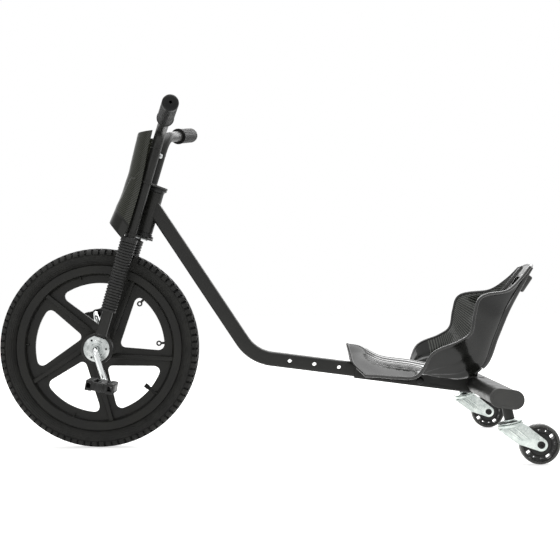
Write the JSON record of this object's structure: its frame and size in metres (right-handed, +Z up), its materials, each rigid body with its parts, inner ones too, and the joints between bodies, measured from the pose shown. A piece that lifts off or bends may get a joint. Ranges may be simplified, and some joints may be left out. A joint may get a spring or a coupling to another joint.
{
  "type": "drift trike",
  "caption": "Low pedalled trike with a large front wheel, fork with shield and handlebar, bent frame tube, bucket seat and raked rear casters that let it slide sideways.",
  "frame": {"origin": "on the floor, under the middle of the object's box", "axes": "+Z up, +X to the rear of the trike, +Y to the rider's right"},
  "size_m": [1.092, 0.6178, 0.6893],
  "materials": {
    "frame_paint": "satin black powder coat",
    "gloss_plastic": "polished dark grey moulding",
    "black_plastic": "fine grained",
    "wheel_plastic": "satin moulded nylon",
    "tyre": "matt",
    "rubber": "matt",
    "caster_tread": "hard polyurethane",
    "chrome": "bright",
    "zinc": "bright zinc plated",
    "steel": "zinc plated"
  },
  "bodies": {
    "frame": {"head_tube": "frame_paint", "headset_cup_lower": "black_plastic", "headset_cup_upper": "black_plastic", "main_tube": "frame_paint", "rear_sleeve": "frame_paint", "lock_bolt_rear": "steel", "lock_bolt_front": "steel", "axle_tube": "frame_paint", "seat_bracket": "frame_paint", "bracket_bolt": "steel", "seat": "gloss_plastic", "axle_cap_left": "black_plastic", "axle_cap_right": "black_plastic", "seat_bolt_left": "steel", "seat_bolt_right": "steel", "caster_stem_left": "frame_paint", "caster_stem_right": "frame_paint", "caster_race_left": "zinc", "caster_race_right": "zinc", "kingpin_left": "steel", "kingpin_right": "steel"},
    "steering": {"steerer": "steel", "crown_lower": "frame_paint", "crown_upper": "frame_paint", "front_panel": "gloss_plastic", "fork_leg_left": "frame_paint", "fork_leg_right": "frame_paint", "handlebar_left": "frame_paint", "handlebar_right": "frame_paint", "bar_bolt_left": "steel", "bar_bolt_right": "steel", "gaiter_left": "rubber", "gaiter_right": "rubber", "grip_left": "rubber", "grip_right": "rubber", "bearing_housing_left": "frame_paint", "bearing_housing_right": "frame_paint", "wheel_bearing_left": "steel", "wheel_bearing_right": "steel", "hub_cover_left": "chrome", "hub_cover_right": "chrome"},
    "front_wheel": {"front_tyre": "tyre", "inner_tube": "rubber", "front_rim": "wheel_plastic", "valve_stem": "rubber", "crank_axle": "chrome", "pedal_cap_left": "black_plastic", "pedal_cap_right": "black_plastic"},
    "pedal_left": {"pedal_left": "black_plastic"},
    "pedal_right": {"pedal_right": "black_plastic"},
    "caster_left": {"caster_fork_left": "zinc"},
    "caster_wheel_left": {"caster_core_left": "black_plastic", "caster_tyre_left": "caster_tread", "caster_axle_left": "steel"},
    "caster_right": {"caster_fork_right": "zinc"},
    "caster_wheel_right": {"caster_core_right": "black_plastic", "caster_tyre_right": "caster_tread", "caster_axle_right": "steel"}
  },
  "joints": [
    {"name": "steering", "type": "hinge", "parent": "frame", "child": "steering", "pos_m": [-0.32281, 0, 0.19951], "axis": [0.289, 0, 0.9573], "range_deg": [-70, 70]},
    {"name": "front_wheel_roll", "type": "hinge", "parent": "steering", "child": "front_wheel", "pos_m": [-0.34099, 0, 0.205], "axis": [0, 1, 0], "continuous": true},
    {"name": "pedal_left_spin", "type": "hinge", "parent": "front_wheel", "child": "pedal_left", "pos_m": [-0.3187, -0.138, 0.13759], "axis": [0, 1, 0], "continuous": true},
    {"name": "pedal_right_spin", "type": "hinge", "parent": "front_wheel", "child": "pedal_right", "pos_m": [-0.36329, 0.138, 0.27241], "axis": [0, 1, 0], "continuous": true},
    {"name": "caster_left_swivel", "type": "hinge", "parent": "frame", "child": "caster_left", "pos_m": [0.45271, -0.285, 0.0841], "axis": [-0.225, 0, 0.9744], "continuous": true},
    {"name": "caster_left_roll", "type": "hinge", "parent": "caster_left", "child": "caster_wheel_left", "pos_m": [0.50749, -0.285, 0.03753], "axis": [0, 1, 0], "continuous": true},
    {"name": "caster_right_swivel", "type": "hinge", "parent": "frame", "child": "caster_right", "pos_m": [0.45271, 0.285, 0.0841], "axis": [-0.225, 0, 0.9744], "continuous": true},
    {"name": "caster_right_roll", "type": "hinge", "parent": "caster_right", "child": "caster_wheel_right", "pos_m": [0.50749, 0.285, 0.03753], "axis": [0, 1, 0], "continuous": true}
  ]
}
